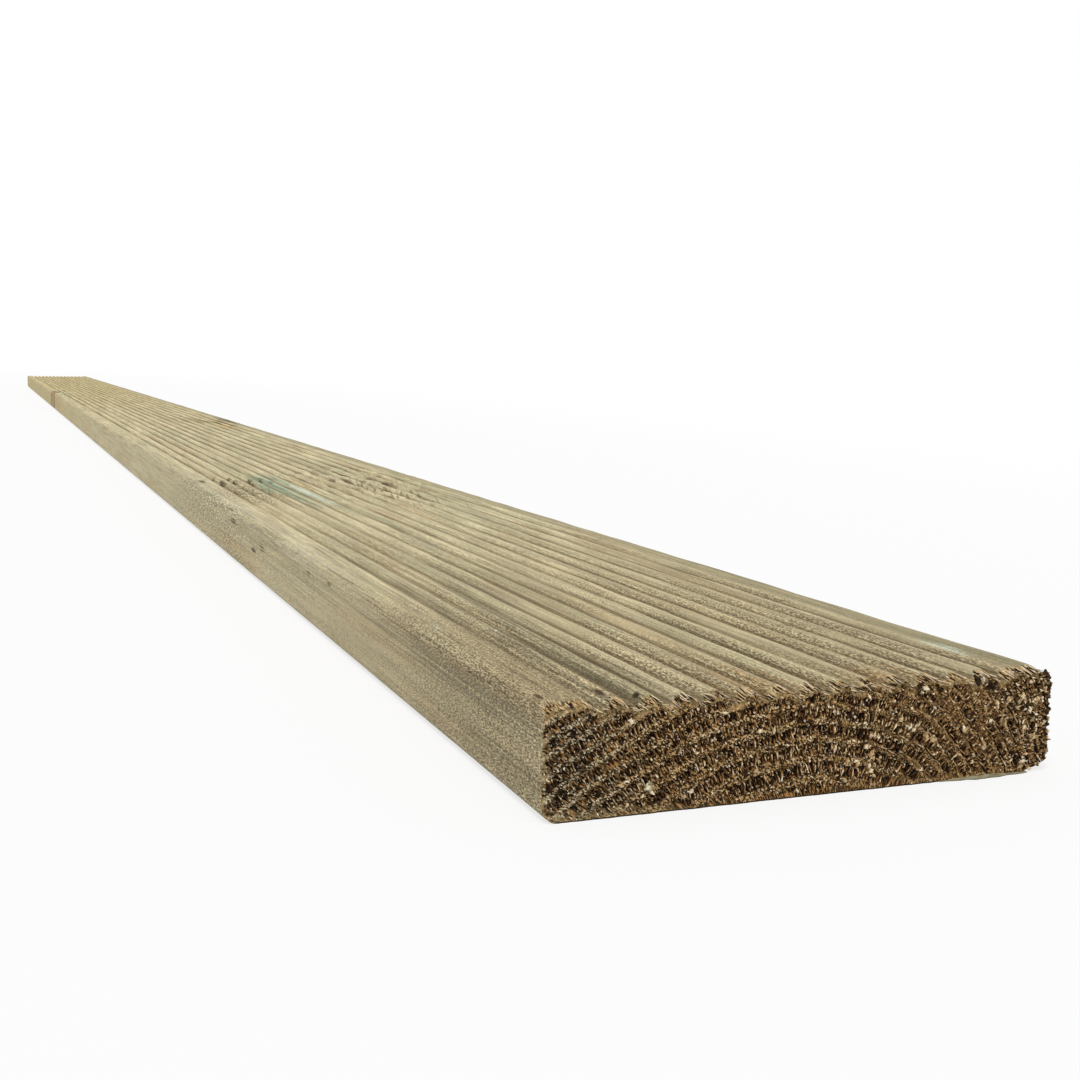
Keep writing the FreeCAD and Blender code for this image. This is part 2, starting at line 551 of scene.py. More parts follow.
def sawn_rips(end, finish):
    """The early wood of each ring, which the saw ripped into thin upright walls that point at the pith."""
    rng = random.Random(end.seed)
    rips = Litter(wall_shape(), 0.84, 0.10 * MM, 4)

    def rip(angle, reach, half, along_ring, tone, tint):
        steep = math.atan2(ring_draw(angle) * math.sin(angle), math.cos(angle))
        x, z = round_pith(angle, reach)
        turned = steep + rng.gauss(-0.06, 0.12) + (math.pi / 2 if along_ring else 0.0)
        way = Vector((math.sin(turned), 0, math.cos(turned)))
        tips = [Vector((x, 0, z)) + way * (side * half * MM) for side in (-1, 1)]
        if not all(inside_section(tip.x, tip.z, 0.3 * MM, sawn_top(tip.x, end.seed)) for tip in tips):
            return
        patchy = grain_noise(x / MM / 6, z / MM / 4, end.seed + 2.5) > 0.1
        if not along_ring and patchy and rng.random() < 0.45:
            return
        depth = end_tear(x, z, end.seed)
        lean = Vector((rng.gauss(0.05, 0.12), end.outward, rng.gauss(-0.05, 0.12)))
        height = TEAR_DEPTH * depth + rng.uniform(0.1, 0.7) + (0.4 if along_ring else 0.0)
        root = Vector((x, end.y - end.outward * (TEAR_DEPTH * depth + 0.15) * MM, z))
        thick = rng.uniform(0.20, 0.36) * (0.7 if along_ring else 1.0) * MM
        rips.add(blade_place(root, lean, way, height * MM, 2 * half * MM, thick), tone, tint)

    for ring in range(FIRST_RING, LAST_RING):
        inner, outer = ring_reach(ring), ring_reach(ring + EARLY_SHARE)
        angle = -RIP_SPAN
        while angle < RIP_SPAN:
            draw = ring_draw(angle)
            row = (inner + outer) / 2 - ring_waver(angle * ARC_RADIUS)
            step = end.spacing / row / math.hypot(math.cos(angle) / draw, math.sin(angle))
            angle += step * rng.uniform(0.6, 1.4)
            half = (outer - inner) / 2 / math.hypot(draw * math.sin(angle), math.cos(angle))
            half *= rng.uniform(0.3, 1.1)
            leftward = ease(-0.45, -0.85, angle)
            dull = 0.45 if rng.random() < 0.34 + 0.10 * leftward else 0.0
            if rng.random() < 0.6 * ease(0.40, 0.70, angle):
                continue
            rip(angle, row + rng.gauss(0, 0.45), half, False, rng.gauss(0.06, 0.12) - dull,
                rng.gauss(0.12, 0.10) + 0.35 * leftward)
        # To the right a thin pale ridge also runs along the end of each ring
        angle = RIDGE_START
        while angle < RIP_SPAN:
            row = ring_reach(ring + RIDGE_SHARE) - ring_waver(angle * ARC_RADIUS)
            angle += RIDGE_SPACING / row * rng.uniform(0.6, 1.4)
            if rng.random() < 0.85:
                rip(angle, row + rng.gauss(0, 0.15), rng.uniform(0.5, 2.0), True, rng.gauss(-0.04, 0.12),
                    rng.gauss(0.14, 0.10))
    rips.join(f"{end.name}_end_rips", finish)


def sawn_flakes(end, finish):
    """Flakes and crumbs of wood that the saw left on an end, larger to the right; the near-black ones are
    painted shade.
    """
    rng = random.Random(end.seed + 5)
    flakes = Litter(tapered_shape(*FLAKE), 0.12, 0.10 * MM)
    for _ in range(end.flakes):
        x, z = rng.uniform(LOW.x, HIGH.x), rng.uniform(0.0, THICKNESS)
        if not inside_section(x, z, 0.6 * MM, sawn_top(x, end.seed)):
            continue
        depth = end_tear(x, z, end.seed)
        rightward = (x - LOW.x) / (HIGH.x - LOW.x)
        by_edge = ease(0.86, 0.94, rightward)
        if rng.random() < 0.62 * ease(0.64, 0.76, rightward) * (1 - by_edge):
            continue
        size = rng.uniform(0.20, 0.42) * (0.80 + 0.20 * ease(0.15, 0.6, rightward))
        if rng.random() < 0.02 + 0.08 * rightward**2 + 0.06 * by_edge:
            size += rng.uniform(0.4, 1.3)
        # Nearly half the flakes are near black: painted shade, dark spots for the gaps between the fibres.
        dark_share = 0.47 - 0.12 * ease(0.6, 0.8, rightward)
        tone = rng.gauss(0.06, 0.06) if rng.random() < dark_share else rng.gauss(0.78, 0.18)
        facing = Vector((rng.gauss(0, 0.5), end.outward, rng.gauss(0, 0.5)))
        angle = math.atan2(x - PITH.x, z - PITH.z) + rng.gauss(0, 0.7)
        way = Vector((math.sin(angle), 0, math.cos(angle)))
        root = Vector((x, end.y - end.outward * (TEAR_DEPTH * depth - 0.2) * MM, z))
        flakes.add(
            blade_place(root, facing, way, rng.uniform(0.2, 0.7) * MM,
                        size * 1.5 * MM, size * rng.uniform(0.5, 0.9) * MM),
            tone, rng.gauss(0.14, 0.12) + 0.4 * (1 - ease(4, 30, (x - LOW.x) / MM)),
        )
    flakes.join(f"{end.name}_end_flakes", finish)


# Slivers are either dark or pale, and crumbs mostly dark
SLIVER_TONES = (0.0, 0.03, 0.10, 0.66, 0.78, 0.88, 0.96)
CRUMB_TONES = (0.02, 0.06, 0.14, 0.45, 0.70)
# How far in from each side of the board the slivers start, in metres
SLIVER_INSET = 1.5 * MM


def rim_slivers(end, finish):
    """Slivers of the upper face that the saw lifted along an end's rim, thickest on the reeds' crests."""
    rng = random.Random(end.seed)
    slivers = Litter(tapered_shape(*SLIVER), 0.10)
    x = LOW.x + SLIVER_INSET
    while x < HIGH.x - SLIVER_INSET:
        x += rng.uniform(0.06, 0.30) * MM
        crest = 1 - reed_drop(x) / GROOVE_DEPTH
        on_left_land = x < LOW.x + LAND
        if rng.random() > (0.25 if on_left_land else 0.40 + 0.55 * crest):
            continue
        along = rng.uniform(0.8, 5.5) * MM
        foot = top_height(x) - (rim_drop(x, along, end.seed) + 0.10) * MM
        tip = top_height(x) - (rim_drop(x, 0.0, end.seed) - rng.uniform(-0.3, 0.7)) * MM
        overhang = rng.uniform(-0.4, 0.9) * MM
        way = Vector((rng.gauss(0, 0.35) * MM, end.outward * (along + overhang), tip - foot))
        slivers.add(
            blade_place(Vector((x, end.y - end.outward * along, foot)), way, Vector((1, 0, 0)), way.length,
                        rng.uniform(0.24, 0.60) * MM, rng.uniform(0.16, 0.34) * MM),
            rng.choice(SLIVER_TONES) + rng.gauss(0, 0.05), rng.gauss(0.12, 0.10),
        )
    slivers.join(f"{end.name}_rim_slivers", finish)


# Chips that stand out on the front end: across, up and size in millimetres, tone and tint
FRONT_CHIPS = (
    (22.2, 22.6, 1.9, 1.0, 0.40),
    (26.9, 6.3, 2.9, 0.74, 0.60),
    (36.3, 3.2, 1.6, 0.72, 0.30),
    (41.9, 17.7, 1.5, 0.66, 0.30),
    (56.0, 7.8, 2.4, 0.62, 0.25),
    (59.0, 9.0, 2.2, 0.56, 0.25),
    (89.0, 9.0, 2.4, 0.72, 0.15),
    (91.5, 7.6, 1.7, 0.66, 0.15),
    (105.2, 12.4, 2.4, 0.66, 0.20),
    (107.3, 11.3, 2.2, 0.72, 0.20),
    (117.7, 13.1, 1.9, 0.68, 0.20),
    (102.6, 25.6, 2.8, 0.04, 0.30),
    # A near-white chip beside the dark chip: a painted highlight.
    (103.9, 24.8, 1.6, 0.96, 0.40),
    (120.6, 25.6, 2.8, 0.03, 0.50),
    (125.0, 24.6, 3.0, 0.03, 0.40),
    # A near-white chip between the dark chips: a painted highlight.
    (122.3, 26.0, 1.4, 0.98, 0.70),
    (130.9, 20.2, 2.4, 0.72, 0.20),
    (135.1, 21.0, 2.6, 0.76, 0.20),
    (136.4, 3.2, 2.2, 0.95, 0.50),
    (139.4, 9.7, 2.6, 0.68, 0.25),
    (140.4, 19.4, 2.2, 0.70, 0.25),
)
# Crumbs to a chip, and crumbs along the front end's right edge
CHIP_CRUMBS, EDGE_CRUMBS = 8, 340


def end_chips(finish):
    """The larger chips caught in the front end, and the clumps of fibre that hang on its right edge."""
    rng = random.Random(FRONT.seed + 1)
    chips = Litter(tapered_shape(*FLAKE), 0.10, 0.22 * MM)

    def crumb(x, y, z, size, tone, tint):
        facing = Vector((rng.gauss(0, 0.5), -1.0, rng.gauss(0.1, 0.5)))
        turn = rng.gauss(0.2, 0.8)
        chips.add(
            blade_place(Vector((x, y, z)), facing, Vector((math.sin(turn), 0, math.cos(turn))), 0.5 * size,
                        1.3 * size, 0.8 * size),
            tone, tint,
        )

    def chip(x, y, z, size, tone, tint):
        crumb(x, y - 0.1 * size, z, 0.6 * size, tone, tint)
        for _ in range(CHIP_CRUMBS):
            crumb(x + rng.gauss(0, 0.22) * size, y - rng.uniform(0, 0.2) * size,
                  z + rng.gauss(0, 0.22) * size, size * rng.uniform(0.20, 0.50),
                  tone + rng.gauss(0.03, 0.10), tint)

    for across, up, size, tone, tint in FRONT_CHIPS:
        chip(LOW.x + across * MM, LOW.y + 0.3 * MM, up * MM, size * MM, tone, tint)
    for _ in range(EDGE_CRUMBS):
        z = rng.uniform(3.0, 26.5) * MM
        past_corner = max(0.0, abs(z - THICKNESS / 2) - (THICKNESS / 2 - ARRIS))
        x = HIGH.x - ARRIS + math.sqrt(ARRIS**2 - past_corner**2) + rng.uniform(-1.6, 0.4) * MM
        crumb(x, LOW.y + rng.uniform(-0.3, 2.5) * MM, z, rng.uniform(0.5, 1.4) * MM,
              rng.choice(CRUMB_TONES) + rng.gauss(0, 0.06), rng.gauss(0.22, 0.15))
    chips.join("front_end_chips", finish)


# The splinter's left end and length across the board, and how far back it roots, in millimetres
SPLINTER_START, SPLINTER_LENGTH, SPLINTER_ROOT = 110, 28, 4
# Cuts that divide it across and along the board
SPLINTER_CUTS = 27, 5


def under_splinter(finish):
    """The thin grey splinter that hangs out under the right of the front end."""
    bm = bmesh.new()
    bmesh.ops.create_cube(bm, size=1.0, matrix=Matrix.Translation((0.5, 0.5, 0.5)))
    for axis, cuts in enumerate(SPLINTER_CUTS):
        cut_across(bm, axis, cuts)
    tone = bm.verts.layers.float.new("tone")
    tint = bm.verts.layers.float.new("tint")
    layer = bm.loops.layers.uv.new("OFBake")
    for v in bm.verts:
        x, y, z = v.co
        taper = math.sin(math.pi * clamp01(0.06 + 0.9 * x)) ** 0.6
        lip = 2.1 * taper * (0.75 + 0.5 * grain_noise(x * 9, 0.5, 1.0))
        v[tone] = 0.66 + 0.16 * grain_noise(x * 12, y * 4, z * 2) - 0.25 * (1 - z)
        v[tint] = 0.85
        v.co = (LOW.x + (SPLINTER_START + SPLINTER_LENGTH * x) * MM,
                LOW.y + (SPLINTER_ROOT - (SPLINTER_ROOT + lip) * (1 - y)) * MM,
                (LOWEST_FIBRE + (0.35 + 0.75 * y) * taper * z) * MM)
    for face in bm.faces:
        for loop in face.loops:
            loop[layer].uv = (CHART_MARGIN + (1 - 2 * CHART_MARGIN) * loop.vert[tone],
                              0.80 + 0.1 * loop.vert[tint])
    bmesh.ops.recalc_face_normals(bm, faces=bm.faces[:])
    finish_piece("under_splinter", mesh_from(bm, "under_splinter"), finish)


# Finishes
def rgb(red, green, blue):
    """A colour as it looks on a screen, from 0 to 255, as the linear light that a socket takes."""
    shares = (c / 255 for c in (red, green, blue))
    return tuple(c / 12.92 if c < 0.04 else ((c + 0.055) / 1.055) ** 2.4 for c in shares) + (1.0,)


# How strongly the finishes' heights tilt the light
BUMP_STRENGTH = 0.7


class Finish:
    """A material's node tree, with a short call for each kind of node that the finishes use."""

    def __init__(self, name):
        self.material = bpy.data.materials.new(name)
        self.material.use_nodes = True
        self.tree = self.material.node_tree
        self.shader = self.tree.nodes["Principled BSDF"]
        place = self.vector("SCALE", self.node("ShaderNodeTexCoord").outputs["Object"], scale=1 / MM)
        self.place = self.vector("ADD", place, tuple(TO_BOARD))
        axes = self.node("ShaderNodeSeparateXYZ", self.place)
        self.across, self.along, self.up = axes.outputs

    def node(self, kind, *inputs, **settings):
        made = self.tree.nodes.new(kind)
        for key, value in settings.items():
            setattr(made, key, value)
        for index, value in enumerate(inputs):
            self.put(made.inputs[index], value)
        return made

    def put(self, socket, value):
        if isinstance(value, bpy.types.NodeSocket):
            self.tree.links.new(value, socket)
        elif value is not None:
            socket.default_value = value

    def math(self, operation, a, b=None, c=None):
        return self.node("ShaderNodeMath", a, b, c, operation=operation).outputs[0]

    def climb(self, value, slope, start):
        """The start, and the slope more for each unit of the value."""
        return self.math("MULTIPLY_ADD", value, slope, start)

    def product(self, *factors):
        result = factors[0]
        for factor in factors[1:]:
            result = self.math("MULTIPLY", result, factor)
        return result

    def vector(self, operation, a, b=None, scale=None):
        made = self.node("ShaderNodeVectorMath", a, b, operation=operation)
        if scale is not None:
            made.inputs["Scale"].default_value = scale
        return made.outputs["Value"] if operation == "LENGTH" else made.outputs["Vector"]

    def noise(self, size, detail=2.0, roughness=0.5, shift=0.0, colour=False, place=None):
        """Noise whose lumps are about as large as size, in millimetres across, along and up."""
        scaled = self.node("ShaderNodeMapping", place or self.place, vector_type="POINT")
        scaled.inputs["Location"].default_value = (shift, shift * 1.7, shift * 0.6)
        scaled.inputs["Scale"].default_value = tuple(1 / s for s in size)
        made = self.node("ShaderNodeTexNoise", scaled.outputs[0])
        made.inputs["Scale"].default_value = 1.0
        made.inputs["Detail"].default_value = detail
        made.inputs["Roughness"].default_value = roughness
        return made.outputs["Color" if colour else "Fac"]

    def swing(self, value, amount):
        """A factor that swings round 1 by an amount, number or socket, as the value goes from 0 to 1."""
        return self.toned(self.climb(value, 2.0, -1.0), amount)

    def toned(self, share, amount):
        """A factor that is 1 where the share is 0, and an amount more where it is 1."""
        return self.climb(share, amount, 1.0)

    def fade(self, value, low, high):
        """0 at low, 1 at high, smooth between and level beyond. High may be the smaller."""
        made = self.node("ShaderNodeMapRange", value, low, high, 0.0, 1.0, interpolation_type="SMOOTHSTEP")
        return made.outputs[0]

    def ramp(self, value, *stops):
        made = self.node("ShaderNodeValToRGB", value)
        elements = made.color_ramp.elements
        while len(elements) < len(stops):
            elements.new(0.5)
        for element, (position, colour) in zip(elements, stops):
            element.position = position
            element.color = colour
        return made.outputs["Color"]

    def mix(self, share, a, b):
        made = self.node("ShaderNodeMix", share, data_type="RGBA")
        self.put(made.inputs[6], a)
        self.put(made.inputs[7], b)
        return made.outputs[2]

    def coat(self, colour, tint, *shares):
        """A colour coated with a tint, as far as the product of the shares."""
        return self.mix(self.product(*shares), colour, rgb(*tint))

    def shaded(self, colour, factor):
        """A colour made lighter or darker by a factor."""
        return self.vector("MULTIPLY", colour, factor)

    def patch(self, centre, reach, feather=None):
        """1 at a place on the board, fading to 0 at its reach, in millimetres. A feather frays its rim."""
        off = self.vector("SUBTRACT", self.place, centre)
        distance = self.vector("LENGTH", self.vector("DIVIDE", off, reach))
        if feather is not None:
            distance = self.climb(self.math("SUBTRACT", feather, 0.5), 1.3, distance)
        return self.fade(distance, 1.0, 0.3)

    def attribute(self, name):
        return self.node("ShaderNodeAttribute", attribute_name=name).outputs["Fac"]

    def bump(self, height, distance):
        made = self.node("ShaderNodeBump")
        made.inputs["Strength"].default_value = BUMP_STRENGTH
        made.inputs["Distance"].default_value = distance
        self.put(made.inputs["Height"], height)
        return made.outputs[0]

    def wear(self, colour, roughness, specular, height=None, depth=0.0):
        """Joins a colour, a roughness and any height to the shader."""
        self.put(self.shader.inputs["Base Color"], colour)
        self.put(self.shader.inputs["Roughness"], roughness)
        self.shader.inputs["Specular IOR Level"].default_value = specular
        if height is not None:
            self.put(self.shader.inputs["Normal"], self.bump(height, depth))
        return self.material


def pith_offset(finish, place):
    """From the pith to a place, square across the board, with the rings drawn round."""
    pith = PITH / MM + Vector((TO_BOARD.x, 0, 0))
    off = finish.node("ShaderNodeSeparateXYZ", finish.vector("SUBTRACT", place, tuple(pith))).outputs
    widened = finish.product(finish.math("ABSOLUTE", off["X"]), (RIGHT_DRAW - LEFT_DRAW) / 2)
    across = finish.climb(off["X"], (RIGHT_DRAW + LEFT_DRAW) / 2, widened)
    return finish.node("ShaderNodeCombineXYZ", across, 0.0, off["Z"]).outputs[0]


def through_ring(finish, distance):
    """How far through its ring a place at a distance from the pith is, from 0 to 1."""
    return finish.math("FRACT", finish.product(finish.math("POWER", distance, RING_POWER), RING_RATE))


def growth_ring(finish):
    """How far through a year's growth the wood is: 0 where it starts, pale, and 1 where it ends, dark."""
    wide_sway = finish.noise((70, 1100, 70), 2.0, colour=True)
    fine_sway = finish.noise((9, 260, 9), 2.0, shift=4.0, colour=True)
    swayed = finish.vector("ADD", finish.place, finish.vector("SCALE", wide_sway, scale=9.0))
    swayed = finish.vector("ADD", swayed, finish.vector("SCALE", fine_sway, scale=1.6))
    swayed = finish.vector("SUBTRACT", swayed, (5.3, 0, 5.3))
    distance = finish.vector("LENGTH", pith_offset(finish, swayed))
    for centre, reach, bend in KNOTS:
        distance = finish.climb(finish.patch(centre, reach), bend, distance)
    return through_ring(finish, distance)


# Marks on the long faces: place and reach in the board's own measure, colour and strength
GREY_GREEN, TEAL, MINT = (140, 132, 104), (146, 164, 136), (222, 230, 206)
RUST, UMBER, MOSS, CRACK = (196, 154, 98), (70, 52, 32), (80, 88, 66), (38, 26, 14)
STRAW, DUST, BONE, CHALK = (206, 194, 156), (164, 152, 120), (218, 212, 184), (220, 214, 190)
OLIVE, DARK_OLIVE, PALE_OLIVE = (118, 104, 56), (98, 84, 46), (146, 130, 82)
# A mark reaching no further than this any way, in millimetres, is a crack or chip and has a clean rim
CLEAN_RIM = 1.2
STAINS = (
    ((26, 55, 26), (8.5, 115, 5), GREY_GREEN, 0.95),
    ((1.5, 75, 27), (4, 55, 4), STRAW, 0.75),
    ((0, 310, 20), (4, 120, 9), DUST, 0.45),
    ((12, 190, 26), (5, 90, 5), GREY_GREEN, 0.2),
    ((0, 60, 21), (4, 90, 4), GREY_GREEN, 0.65),
    ((0, 30, 9), (4, 60, 3), GREY_GREEN, 0.5),
    ((46, 545, 27), (13, 85, 7), TEAL, 0.95),
    ((46, 540, 28), (2.0, 50, 3), MINT, 0.55),
    ((54.2, 510, 28), (2.4, 56, 3), MINT, 0.95),
    ((41.5, 556, 26), (1.6, 16, 3), MOSS, 0.9),
    ((45.0, 566, 27), (1.1, 14, 3), MOSS, 0.8),
    ((50.2, 546, 26), (1.6, 18, 3), MOSS, 0.8),
    ((64, 570, 26), (7, 50, 5), RUST, 0.40),
    ((62, 8, 26), (14, 20, 6), RUST, 0.40),
    ((98, 6, 26), (12, 16, 6), RUST, 0.45),
    ((134, 30, 27), (2.5, 10, 4), MINT, 0.9),
    ((5, 98, 27), (1.5, 9, 3), MINT, 0.6),
    ((20, 89, 27), (0.8, 3.5, 3), MINT, 0.7),
    ((26.7, 7.4, 27.2), (1.0, 2.4, 2), CRACK, 1.0),
    ((18.6, 11, 27.6), (0.8, 5, 2), CRACK, 0.95),
    ((2.8, 10.5, 27.4), (1.0, 4, 2), CRACK, 0.9),
    ((33.2, 9, 27.4), (0.6, 6, 2), CRACK, 0.8),
    ((107, 72, 27.4), (1.0, 4, 2), CRACK, 0.7),
    ((2, 290, 26.5), (4, 75, 4), CHALK, 0.35),
    ((3, 480, 27), (4, 110, 4), BONE, 0.4),
    ((126, 1290, 26), (16, 95, 6), OLIVE, 0.95),
    ((136, 1320, 27), (8, 80, 5), DARK_OLIVE, 0.95),
    ((106, 1300, 26), (14, 80, 6), PALE_OLIVE, 0.6),
    ((120, 1205, 26), (9, 60, 6), RUST, 0.7),
    ((127, 505, 27), (5, 26, 5), RUST, 0.4),
    ((13, 2180, 26), (7, 220, 6), TEAL, 0.6),
    ((11, 2250, 27), (3, 130, 4), MINT, 0.7),
    ((0, 2130, 14), (3, 80, 22), RUST, 0.35),
    ((0, 352, 18), (2, 8, 1.9), UMBER, 0.95),
    ((0, 374, 14), (2, 6, 1.5), UMBER, 0.85),
    ((0, 430, 22), (2, 8, 1.6), UMBER, 0.95),
    ((0, 253, 21.4), (2, 5, 1.3), UMBER, 0.8),
    ((0, 217, 22.4), (2, 5, 1.2), UMBER, 0.6),
)

# The knot that the left side cuts through near the back: its place and reach in the same measure
SIDE_KNOT, SIDE_KNOT_REACH = (2, 2290, 13), (12, 62, 20)
# By the first knot: where the painted groove shade looks dashed, where the wood is rough and where fissures
# run as lines of painted shade
DASHED_GROOVES = (100, 575, 27), (60, 180, 9)
ROUGH_WOOD = (20, 510, 27), (26, 75, 9)
FISSURES = (106, 500, 27), (36, 110, 9)


class PlanedFinish(Finish):
    """The long faces' finish, with the places and the grain that several of its steps go by."""

    def __init__(self):
        super().__init__("treated softwood face")
        self.near = self.fade(self.along, 420, 20)
        self.far = self.fade(self.along, 900, 2600)
        self.upper = self.fade(self.up, 22.0, 23.0)
        self.on_side = self.fade(self.across, 4.0, 0.5)
        self.left_land = self.product(self.fade(self.across, 14, 10), self.upper)
        self.right_land = self.product(self.fade(self.across, 132, 134), self.upper)
        self.reeded = self.product(
            self.fade(self.across, 10.5, 12.5), self.fade(self.across, 133.5, 131.5), self.upper,
        )
        self.flank = self.product(self.reeded, self.fade(self.up, 27.85, 27.35))
        self.streaks = self.fade(self.noise((1.2, 120, 1.2), 3.0, 0.6), 0.35, 0.65)
        self.mottle = self.noise((11, 90, 11), 3.0, 0.55, shift=2.0)


def fine_specks(f):
    """Specks by the front end, which lengthen into flecks further along."""
    specks = f.fade(f.noise((0.26, 1.5, 0.26), 1.0, 0.5, shift=7.0), 0.40, 0.60)
    flecks = f.fade(f.noise((0.42, 5.5, 0.42), 1.0, 0.5, shift=63.0), 0.40, 0.60)
    return f.climb(f.fade(f.along, 120, 320), f.math("SUBTRACT", flecks, specks), specks)


def groove_lines(f):
    """Where the grooves get painted shade, and how crisp it looks: patchy, and dashed by the first knot."""
    # The band of painted groove shade sits lower in the grooves toward the left side and higher further
    # along.
    lifted = f.climb(f.fade(f.across, 90, 20), 0.42, f.up)
    lifted = f.climb(f.fade(f.along, 300, 1400), -0.2, lifted)
    hollow = f.product(f.reeded, f.fade(lifted, 26.75, 26.35))
    crisp = f.climb(f.fade(f.noise((22, 170, 22), 2.0, shift=50.0), 0.64, 0.42), 0.45, 0.55)
    crisp = f.climb(f.far, 0.2, crisp)
    soft = f.product(f.fade(f.along, 150, 230), f.fade(f.along, 900, 500))
    crisp = f.product(crisp, f.toned(soft, -0.24))
    dashes = f.climb(f.fade(f.noise((7, 42, 7), 1.0, shift=71.0), 0.46, 0.60), 0.7, -0.2)
    return hollow, f.climb(f.patch(*DASHED_GROOVES, f.mottle), dashes, crisp)


def planed_wood(f):
    """Khaki softwood in grey and brown clouds, browner by the front end, with its stains."""
    colour = f.mix(f.fade(f.mottle, 0.35, 0.65), rgb(211, 199, 162), rgb(201, 189, 153))
    greyed = f.fade(f.noise((9, 220, 9), 2.0, shift=12.0), 0.48, 0.66)
    colour = f.coat(colour, (180, 176, 142), greyed, f.climb(f.on_side, -0.25, 0.50))
    browned = f.fade(f.noise((8, 150, 8), 2.0, shift=21.0), 0.50, 0.68)
    colour = f.coat(colour, (192, 166, 126), browned, 0.36)
    colour = f.coat(colour, (162, 141, 104), f.near, 0.26)
    colour = f.coat(colour, (199, 183, 135), f.far, 0.8)
    colour = f.coat(colour, (150, 128, 90), f.fade(f.along, 200, 20), f.left_land, 0.4)
    colour = f.coat(colour, (164, 153, 118), f.right_land, 0.75)
    for centre, reach, tint, strength in STAINS:
        feather = f.streaks if min(reach) > CLEAN_RIM else None
        colour = f.coat(colour, tint, f.patch(centre, reach, feather), strength)
    return colour


def side_knot(f, colour):
    """A colour with the side knot laid over it: a ringed brown heart in a dark rim of bark."""
    off = f.vector("DIVIDE", f.vector("SUBTRACT", f.place, SIDE_KNOT), SIDE_KNOT_REACH)
    out = f.climb(f.mottle, 0.5, f.math("SUBTRACT", f.vector("LENGTH", off), 0.25))
    heart = f.climb(f.math("SINE", f.math("MULTIPLY", out, 26.0)), 0.15, 0.45)
    colour = f.coat(colour, (150, 112, 66), heart, f.fade(out, 1.0, 0.85))
    bark = f.product(f.fade(out, 0.70, 0.92), f.fade(out, 1.18, 0.98))
    return f.coat(colour, (84, 62, 38), bark, 0.75)


def rough_places(f):
    """Where the wood is rough: flanks, corner and side by the front end, a patch of the side, and a knot."""
    torn_flank = f.product(f.fade(f.noise((6, 80, 6), 2.0, shift=33.0), 0.34, 0.58),
                           f.climb(f.flank, 0.6, 0.4), f.near)
    front_left = f.product(f.fade(f.across, 46, 18), f.upper, f.fade(f.along, 230, 60), 0.9)
    side_front = f.product(f.on_side, f.fade(f.along, 180, 20))
    side_patch = f.product(f.on_side, f.fade(f.along, 340, 470), f.fade(f.along, 700, 540), 0.6)
    by_knot = f.product(f.patch(*ROUGH_WOOD, f.mottle), 0.9)
    rough = torn_flank
    for part in (front_left, side_front, side_patch, by_knot):
        rough = f.math("MAXIMUM", rough, part)
    return rough


def grain_shade(f, fibres):
    """How light or dark the grain makes the wood, with its rings, streaks, clouds, fine lines and pores."""
    clouds = f.fade(f.noise((2.8, 100, 2.8), 5.0, 0.76, shift=27.0), 0.37, 0.63)
    lines = f.fade(f.noise((0.5, 60, 0.5), 1.0, 0.5, shift=40.0), 0.58, 0.66)
    pores = f.fade(f.noise((0.9, 2.4, 0.9), 2.0, 0.6, shift=17.0), 0.59, 0.68)
    ring = growth_ring(f)
    late = f.product(f.fade(ring, 0.35, 0.86), f.fade(ring, 1.0, 0.90))
    calm = f.toned(f.on_side, -0.5)
    line_depth = f.climb(f.math("MAXIMUM", f.right_land, f.left_land), -0.22, -0.16)
    pore_depth = f.climb(f.on_side, -0.25, -0.15)
    return f.product(
        f.swing(f.streaks, f.product(calm, 0.08)), f.swing(fibres, f.product(calm, 0.11)),
        f.swing(clouds, f.product(calm, 0.12)), f.swing(late, -0.04),
        f.toned(lines, line_depth), f.toned(pores, pore_depth),
    )


def painted_light_by_place(f, hollow, crisp):
    """How light or dark each place is, mostly painted light and shade: painted shade on the reeds' flanks
    and in their grooves, the left side darker toward the front end, a painted shadow along the lower left
    edge and painted shade on the right top edge; also lighter reeds further along, a darker top by the front
    right and a slightly lighter left land.
    """
    # A painted shadow along the lower left edge, and painted shade on the right top edge.
    painted_lower_shadow = f.product(f.fade(f.up, 2.6, 0.4), f.fade(f.across, 3.0, 1.2))
    painted_right_edge_shade = f.product(f.fade(f.up, 26.0, 27.4), f.fade(f.across, 139.8, 141.2))
    return f.product(
        f.climb(f.product(f.flank, crisp), -0.10, 1.04), f.toned(f.product(hollow, crisp), -0.30),
        f.toned(f.product(f.reeded, f.fade(f.along, 300, 1400)), 0.10),
        f.toned(f.product(f.near, f.fade(f.across, 92, 130), f.upper), -0.10),
        f.toned(f.product(f.left_land, f.fade(f.along, 60, 160)), 0.02),
        f.toned(f.on_side, -0.11), f.toned(f.product(f.on_side, f.fade(f.along, 1700, 500)), -0.06),
        f.toned(painted_lower_shadow, -0.5), f.toned(painted_right_edge_shade, -0.2),
    )


